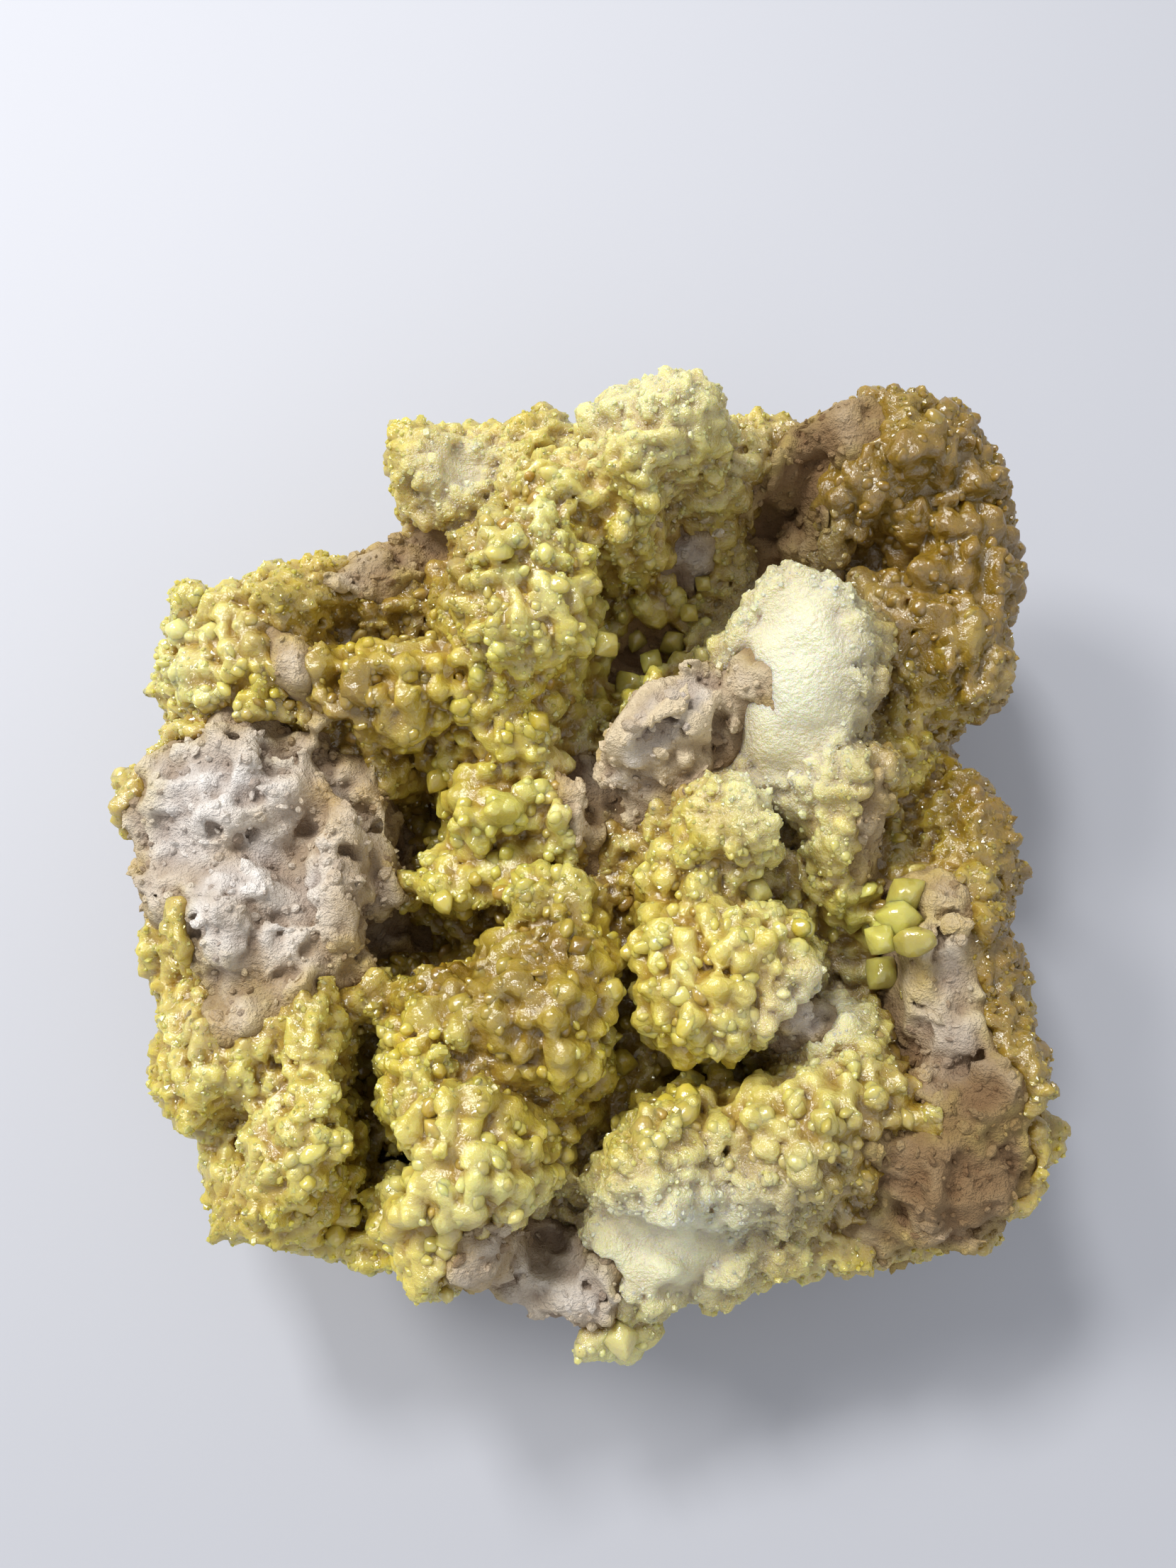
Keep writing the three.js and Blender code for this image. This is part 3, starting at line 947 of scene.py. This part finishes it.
# %% [markdown]
# ## Finishes
#
# Sulfur bends light nearly as much as diamond does, which gives its hard white glints, and light goes
# a millimetre or so into it, which fills its shadows with yellow. The rock is dull. Both have a fine
# grain, and all sulfur has small flat faces that glint. So those two are node groups, placed in each
# material with a scale of their own.

# %% Node helpers
def plug(tree, socket, value):
    """Feeds an input from another node's socket, or sets it to a plain value. A colour of three
    numbers gets its fourth."""
    if isinstance(value, bpy.types.NodeSocket):
        tree.links.new(value, socket)
    else:
        socket.default_value = (*value, 1) if socket.type == "RGBA" else value


def new_node(tree, kind, **values):
    """A node of that kind. Names of inputs plug them, and other names set properties."""
    node = tree.nodes.new(kind)
    for name, value in values.items():
        if name in node.inputs:
            plug(tree, node.inputs[name], value)
        else:
            setattr(node, name, value)
    return node


def operated(tree, kind, operation, values):
    """A math or vector math node on sockets or plain values."""
    node = new_node(tree, kind, operation=operation)
    for socket, value in zip(node.inputs, values):
        plug(tree, socket, value)
    return node


def math_node(tree, operation, *values):
    """What a math node puts out."""
    return operated(tree, "ShaderNodeMath", operation, values).outputs["Value"]


def vector_node(tree, operation, *values):
    """What a vector math node puts out."""
    return operated(tree, "ShaderNodeVectorMath", operation, values).outputs["Vector"]


def painted(tree, name):
    """The number painted on the points under that name."""
    return new_node(tree, "ShaderNodeAttribute", attribute_name=name).outputs["Fac"]


def layered(tree, colour, layers):
    """A colour mixed towards each layer's in turn. A layer is a mask, which is a socket or a painted
    name, the share that multiplies it, and a colour."""
    for mask, share, layer in layers:
        mask = painted(tree, mask) if isinstance(mask, str) else mask
        mix = new_node(tree, "ShaderNodeMix", data_type="RGBA", clamp_factor=True)
        factor = math_node(tree, "MULTIPLY", mask, share)
        # a mix has inputs for numbers and vectors too: 0 is the factor, 6 and 7 are the colours
        for place, value in ((0, factor), (6, colour), (7, layer)):
            plug(tree, mix.inputs[place], value)
        colour = mix.outputs[2]
    return colour


def placed(tree, group, scale):
    """The outputs of a group placed in a material, at a scale in 1/m."""
    node = new_node(tree, "ShaderNodeGroup", node_tree=group)
    node.inputs["Scale"].default_value = scale
    return tuple(node.outputs)


def scaled_group(name, outputs):
    """A new group with a Scale to put in and these numbers to put out, its two end nodes, and the
    place on the piece."""
    group = bpy.data.node_groups.new(name, "ShaderNodeTree")
    group.interface.new_socket("Scale", in_out="INPUT", socket_type="NodeSocketFloat")
    for output in outputs:
        group.interface.new_socket(output, in_out="OUTPUT", socket_type="NodeSocketFloat")
    scale = new_node(group, "NodeGroupInput").outputs["Scale"]
    group_out = new_node(group, "NodeGroupOutput")
    place = new_node(group, "ShaderNodeTexCoord").outputs["Object"]
    return group, scale, group_out, place


def bumped(tree, shader, height, distance, strength):
    """A bump from a height socket, its distance in mm, on a shader's normal."""
    bump = new_node(tree, "ShaderNodeBump", Distance=distance * MM, Strength=strength, Height=height)
    plug(tree, shader.inputs["Normal"], bump.outputs["Normal"])


def new_finish(name, **values):
    """A new material, its tree and its Principled shader, with plain values on the shader's inputs,
    whose names have _ for a space."""
    material = bpy.data.materials.new(name)
    material.use_nodes = True
    tree = material.node_tree
    shader = tree.nodes["Principled BSDF"]
    for label, value in values.items():
        plug(tree, shader.inputs[label.replace("_", " ")], value)
    return material, tree, shader


# %% The grain group and the facets group
GRAIN_OCTAVES = {"Coarse": (1.0, 4.0, 0.6), "Fine": (4.3, 3.0, 0.7)}  # times the scale, detail, roughness


def grain_group():
    """A group that puts out a coarse and a fine grain, both from 0 to 1, for a scale in 1/m."""
    group, scale, group_out, place = scaled_group("mineral grain", GRAIN_OCTAVES)
    for name, (times, detail, roughness) in GRAIN_OCTAVES.items():
        noise = new_node(group, "ShaderNodeTexNoise", Vector=place, Detail=detail, Roughness=roughness)
        plug(group, noise.inputs["Scale"], math_node(group, "MULTIPLY", scale, times))
        spread = new_node(group, "ShaderNodeMapRange", **{"From Min": 0.3, "From Max": 0.7})
        plug(group, spread.inputs["Value"], noise.outputs["Fac"])
        plug(group, group_out.inputs[name], spread.outputs[0])
    return group


def facets_group():
    """A group that puts out a height in mm that tilts flat, each patch its own way, like the faces of
    small crystals: (place - patch centre) . (the patch's random colour - 0.5). The scale is patches
    to a metre."""
    group, scale, group_out, place = scaled_group("small crystal faces", ["Height"])
    patches = new_node(group, "ShaderNodeTexVoronoi", Vector=place, Scale=scale)
    gap = vector_node(group, "SUBTRACT", place, patches.outputs["Position"])
    tilt = vector_node(group, "SUBTRACT", patches.outputs["Color"], (0.5, 0.5, 0.5))
    lean = operated(group, "ShaderNodeVectorMath", "DOT_PRODUCT", (gap, tilt)).outputs["Value"]
    plug(group, group_out.inputs["Height"], math_node(group, "MULTIPLY", lean, 1 / MM))
    return group


GRAIN = grain_group()
FACETS = facets_group()
print("node groups:", GRAIN.name, "and", FACETS.name)

# %% [markdown]
# ## The sulfur's finishes
#
# One function makes the three sulfur materials, which differ in roughness, glow, bump and clearness.
# The colour starts yellow and is mixed, by the numbers on the points, towards pale frost, dust, green,
# honey in the creases, amber, white powder and the brown of the vugs. The honey, the amber and the brown
# are partly painted shade. Sulfur is cloudy, so light goes in by subsurface scattering, and only the
# large crystals let some of it through.

# %% Sulfur
YELLOW = (0.62, 0.475, 0.038)
PALE = (0.79, 0.75, 0.31)
POWDER_WHITE = (0.95, 0.91, 0.67)
# amber, the darker colour that also paints shade on the sides away from the light
AMBER_AND_SHADE = (0.26, 0.155, 0.013)
GREEN = (0.64, 0.63, 0.15)
DUST = (0.62, 0.46, 0.22)
# honey in the creases: partly the sulfur's own tint, partly painted shade
HONEY_AND_SHADE = (0.40, 0.235, 0.028)
# the brown of the vugs: partly dust, partly painted shade
VUG_BROWN_AND_SHADE = (0.20, 0.11, 0.03)
SULFUR_IOR = 1.9
SULFUR_GRAIN = 420.0  # in 1/m
FACES_PER_METRE = 1000.0
GLOW_DEPTH = 1.8  # how far light goes in, in mm
GLOW_COLOURS = (1.0, 0.75, 0.12)  # blue light hardly goes in at all
DUST_SPECKS = (0.7, 0.1)  # dust is patchy: this much of it follows the grain, and this much doesn't
ROUGH_GRAIN = 0.18  # how much the grain adds to the roughness
ROUGH_POWDER = 0.5  # and how much powder does
BUMP_GRAIN = 0.12  # the height of the grain, in mm
BUMP_POWDER = 0.9  # and how much more it is on powder


def sulfur_finish(name, roughness, glow, bump, clear=0.0):
    """Sulfur whose roughness wanders about a value. Glow is the share of light that goes a little
    way in, and clear the share that goes right through."""
    material, tree, shader = new_finish(
        name,
        IOR=SULFUR_IOR,
        Transmission_Weight=clear,
        Subsurface_Weight=glow,
        Subsurface_Radius=GLOW_COLOURS,
        Subsurface_Scale=GLOW_DEPTH * MM,
    )
    coarse, fine = placed(tree, GRAIN, SULFUR_GRAIN)
    (faces,) = placed(tree, FACETS, FACES_PER_METRE)
    powder = painted(tree, "powder")
    layers = [
        ("pale", 1.0, PALE),
        (coarse, 0.14, PALE),
        (fine, 0.06, PALE),
        ("dust", math_node(tree, "MULTIPLY_ADD", fine, *DUST_SPECKS), DUST),
        ("green", 0.7, GREEN),
        # painted shade in the creases, as honey
        ("crease", 0.9, HONEY_AND_SHADE),
        # amber, partly painted shade on the sides away from the light
        ("amber_and_shade", 1.0, AMBER_AND_SHADE),
        (powder, 1.0, POWDER_WHITE),
        # painted shade in the vugs, as brown
        ("vug", 0.45, VUG_BROWN_AND_SHADE),
    ]
    plug(tree, shader.inputs["Base Color"], layered(tree, YELLOW, layers))
    rough = math_node(tree, "MULTIPLY_ADD", fine, ROUGH_GRAIN, roughness)
    rough = math_node(tree, "MULTIPLY_ADD", powder, ROUGH_POWDER, rough)
    plug(tree, shader.inputs["Roughness"], rough)
    facets = math_node(tree, "MULTIPLY", faces, math_node(tree, "SUBTRACT", 1.0, powder))
    crumbly = math_node(tree, "MULTIPLY_ADD", powder, BUMP_POWDER, BUMP_GRAIN)
    relief = math_node(tree, "ADD", math_node(tree, "MULTIPLY", fine, crumbly), facets)
    bumped(tree, shader, relief, distance=1.0, strength=bump)
    return material


crust_finish = sulfur_finish("sulfur crust", roughness=0.08, glow=0.7, bump=0.7)
crystal_finish = sulfur_finish("sulfur crystals", roughness=0.05, glow=0.6, bump=0.3)
glassy_finish = sulfur_finish("glassy sulfur", roughness=0.04, glow=0.7, bump=0.3, clear=0.15)
print("finishes:", crust_finish.name, crystal_finish.name, glassy_finish.name)

# %% [markdown]
# ## The rock's finish
#
# Hot gas bleached the rock: it is tan with ochre stains, chalky white on the shelf and brown in the
# corners, with dark pits. The brown in the corners and on the sides away from the light, and the darker
# creases and vugs, are partly painted shade. It has no glints, so its roughness and gloss are plain
# values.

# %% Rock
TAN = (0.64, 0.48, 0.25)
WHITE = (0.94, 0.89, 0.83)
CREAM = (0.82, 0.68, 0.46)
# brown rock, and painted shade on the sides away from the light
BROWN_AND_SHADE = (0.30, 0.195, 0.095)
OCHRE = (0.58, 0.38, 0.11)
STAIN = (0.62, 0.48, 0.13)
# dark pits, and painted shade in the creases and vugs
PIT_BROWN_AND_SHADE = (0.19, 0.10, 0.045)
ROCK_GRAIN = 260.0  # in 1/m
SPECK_GRAIN = 900.0
SPECK_HEIGHT = 0.4  # as a share of the grain's
STAIN_BLOTCHES = (0.6, 0.1)  # a stain is blotchy, as the dust on sulfur is


def rock_finish(name):
    """Dull, bleached rock: tan, ochre stains, white parts, dark pits, brownish parts partly painted
    shade.
    """
    material, tree, shader = new_finish(name, Roughness=0.9, Specular_IOR_Level=0.25)
    coarse, fine = placed(tree, GRAIN, ROCK_GRAIN)
    _, speck = placed(tree, GRAIN, SPECK_GRAIN)
    layers = [
        (coarse, 1.0, OCHRE),
        (speck, 0.25, WHITE),
        ("white", 1.0, WHITE),
        # brown rock, partly painted shade on the sides away from the light
        ("brown_and_shade", 1.0, BROWN_AND_SHADE),
        ("stain", math_node(tree, "MULTIPLY_ADD", coarse, *STAIN_BLOTCHES), STAIN),
        ("streak", 1.0, CREAM),
        (math_node(tree, "SUBTRACT", 1.0, fine), 0.2, PIT_BROWN_AND_SHADE),
        # painted shade in the creases and vugs
        ("crease", 0.6, PIT_BROWN_AND_SHADE),
        ("vug", 0.4, PIT_BROWN_AND_SHADE),
    ]
    plug(tree, shader.inputs["Base Color"], layered(tree, TAN, layers))
    relief = math_node(tree, "MULTIPLY_ADD", speck, SPECK_HEIGHT, fine)
    bumped(tree, shader, relief, distance=0.45, strength=0.8)
    return material


dull_rock = rock_finish("host rock")
print("finish:", dull_rock.name)

# %% [markdown]
# ## Fastening
#
# Each piece gets its finish, rides the specimen's only body and stands in for the CAD solid.

# %% Finish and fasten each piece
finished = {
    **dict.fromkeys([host_rock, *crumbs], (dull_rock, "host_rock")),
    sulfur_crust: (crust_finish, "sulfur"),
    **dict.fromkeys(glassy, (glassy_finish, "sulfur")),
    **dict.fromkeys(crystals, (crystal_finish, "sulfur")),
}
for piece, (material, slot) in finished.items():
    piece.data.materials.append(material)
    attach(piece, "root")
    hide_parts(NODE)
print("finished", [piece.name for piece in finished])

# %% [markdown]
# ## Studio
#
# A plain pale floor, two soft lights from the left and behind, and a weak fill, so that the crests are
# bright and the vugs stay dark.

# %% Floor and lights
FLOOR_HALF = 3000.0  # from its middle to its edge
FLOOR_COLOUR = (0.5, 0.51, 0.55)
SKY_COLOUR = (0.93, 0.95, 1.0)
SKY_STRENGTH = 0.52
LIT_POINT = Vector((0, 0, 0.02))
LIGHTS = {
    # name: place in metres, size in metres, power in watts, colour
    "window": ((-0.36, 0.2, 0.42), 0.15, 1.95, (1.0, 0.98, 0.95)),
    "sky": ((-0.12, 0.26, 0.4), 0.08, 1.2, (1.0, 1.0, 1.0)),
    "fill": ((0.4, -0.5, 0.5), 0.6, 0.8, (0.9, 0.94, 1.0)),
}

floor_corners = FLOOR_HALF * np.array([(-1, -1, 0), (1, -1, 0), (1, 1, 0), (-1, 1, 0)])
floor = mesh_object("floor", floor_corners, [np.array([[0, 1, 2, 3]])], smooth=False)
floor.data.materials.append(new_finish("pale floor", Base_Color=FLOOR_COLOUR, Roughness=0.7)[0])

for name, (place, size, power, colour) in LIGHTS.items():
    light = in_scene(name, bpy.data.lights.new(name, "AREA"))
    light.data.size = size
    light.data.energy = power
    light.data.color = colour
    light.location = place
    light.rotation_euler = (LIT_POINT - light.location).to_track_quat("-Z", "Y").to_euler()

world = bpy.data.worlds.new("studio")
bpy.context.scene.world = world
world.use_nodes = True
backdrop = world.node_tree.nodes["Background"]
backdrop.inputs["Color"].default_value = (*SKY_COLOUR, 1)
backdrop.inputs["Strength"].default_value = SKY_STRENGTH
bpy.context.scene.view_settings.view_transform = "Standard"
print("a floor,", len(LIGHTS), "lights and a pale sky")
